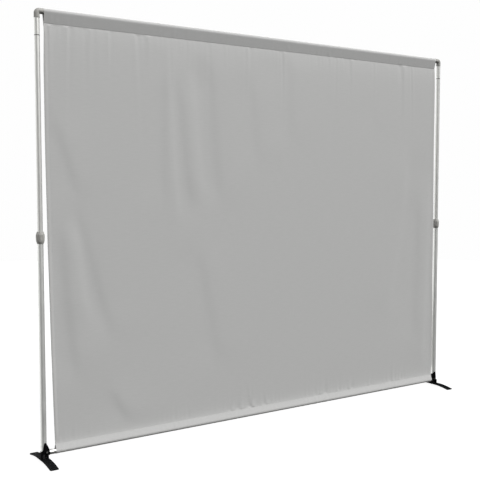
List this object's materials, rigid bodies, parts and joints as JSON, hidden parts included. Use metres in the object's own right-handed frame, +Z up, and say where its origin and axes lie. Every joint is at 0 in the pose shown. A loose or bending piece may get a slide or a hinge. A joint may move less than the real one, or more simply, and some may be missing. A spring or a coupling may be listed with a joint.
{
  "type": "fabric backdrop stand",
  "caption": "Free-standing backdrop stand: telescopic poles on arched feet, top and bottom bars, and a blank cloth stretched between them by sewn pockets.",
  "frame": {"origin": "on the floor, midway between the poles and in the plane of the cloth", "axes": "+X along the width to the pole on the viewer's right, +Z up, the front faces -Y"},
  "size_m": [3.098, 0.33, 2.4384],
  "materials": {
    "foot_steel": "satin",
    "screw_steel": "satin",
    "black_nylon": "matte",
    "white_nylon": "matte",
    "grey_plastic": "satin",
    "knob_plastic": "satin",
    "lower_tube_aluminium": "satin",
    "upper_tube_aluminium": "satin",
    "bar_aluminium": "satin",
    "banner_cloth": "matte"
  },
  "bodies": {
    "lower_frame": {"foot_left": "foot_steel", "foot_right": "foot_steel", "foot_screws_left": "screw_steel", "foot_screws_right": "screw_steel", "base_bracket_left": "black_nylon", "base_bracket_right": "black_nylon", "lower_tube_left": "lower_tube_aluminium", "lower_tube_right": "lower_tube_aluminium", "lower_tube_plug_left": "black_nylon", "lower_tube_plug_right": "black_nylon", "lock_bush_left": "grey_plastic", "lock_bush_right": "grey_plastic", "grip_ring_left": "white_nylon", "grip_ring_right": "white_nylon", "bottom_bar_left": "bar_aluminium", "bottom_bar_centre": "bar_aluminium", "bottom_bar_right": "bar_aluminium", "bottom_bar_spigot_left": "black_nylon", "bottom_bar_spigot_right": "black_nylon", "banner_bottom_pocket": "banner_cloth", "banner_panel": "banner_cloth"},
    "upper_frame": {"upper_tube_left": "upper_tube_aluminium", "upper_tube_right": "upper_tube_aluminium", "guide_plug_left": "black_nylon", "guide_plug_right": "black_nylon", "joint_spigot_left": "black_nylon", "joint_spigot_right": "black_nylon", "stub_tube_left": "upper_tube_aluminium", "stub_tube_right": "upper_tube_aluminium", "elbow_left": "grey_plastic", "elbow_right": "grey_plastic", "elbow_screw_left": "screw_steel", "elbow_screw_right": "screw_steel", "top_bar_left": "bar_aluminium", "top_bar_centre": "bar_aluminium", "top_bar_right": "bar_aluminium", "top_bar_spigot_left": "black_nylon", "top_bar_spigot_right": "black_nylon", "banner_top_pocket": "banner_cloth"},
    "lock_collar_left": {"lock_collar_left": "grey_plastic"},
    "clamp_knob_left": {"clamp_knob_left": "knob_plastic"},
    "lock_collar_right": {"lock_collar_right": "grey_plastic"},
    "clamp_knob_right": {"clamp_knob_right": "knob_plastic"}
  },
  "joints": [
    {"name": "height_slide", "type": "slide", "parent": "lower_frame", "child": "upper_frame", "axis": [0, 0, 1], "range_m": [-1.03, 0], "deforming": ["banner_panel"]},
    {"name": "collar_turn_left", "type": "hinge", "parent": "lower_frame", "child": "lock_collar_left", "pos_m": [-1.525, 0, 1.228], "axis": [0, 0, 1], "range_deg": [0, 90]},
    {"name": "knob_turn_left", "type": "hinge", "parent": "lower_frame", "child": "clamp_knob_left", "pos_m": [-1.525, 0, 0.054], "axis": [0.4695, -0.8829, 0], "range_deg": [0, 270]},
    {"name": "collar_turn_right", "type": "hinge", "parent": "lower_frame", "child": "lock_collar_right", "pos_m": [1.525, 0, 1.228], "axis": [0, 0, 1], "range_deg": [0, 90]},
    {"name": "knob_turn_right", "type": "hinge", "parent": "lower_frame", "child": "clamp_knob_right", "pos_m": [1.525, 0, 0.054], "axis": [-0.4695, -0.8829, 0], "range_deg": [0, 270]}
  ]
}
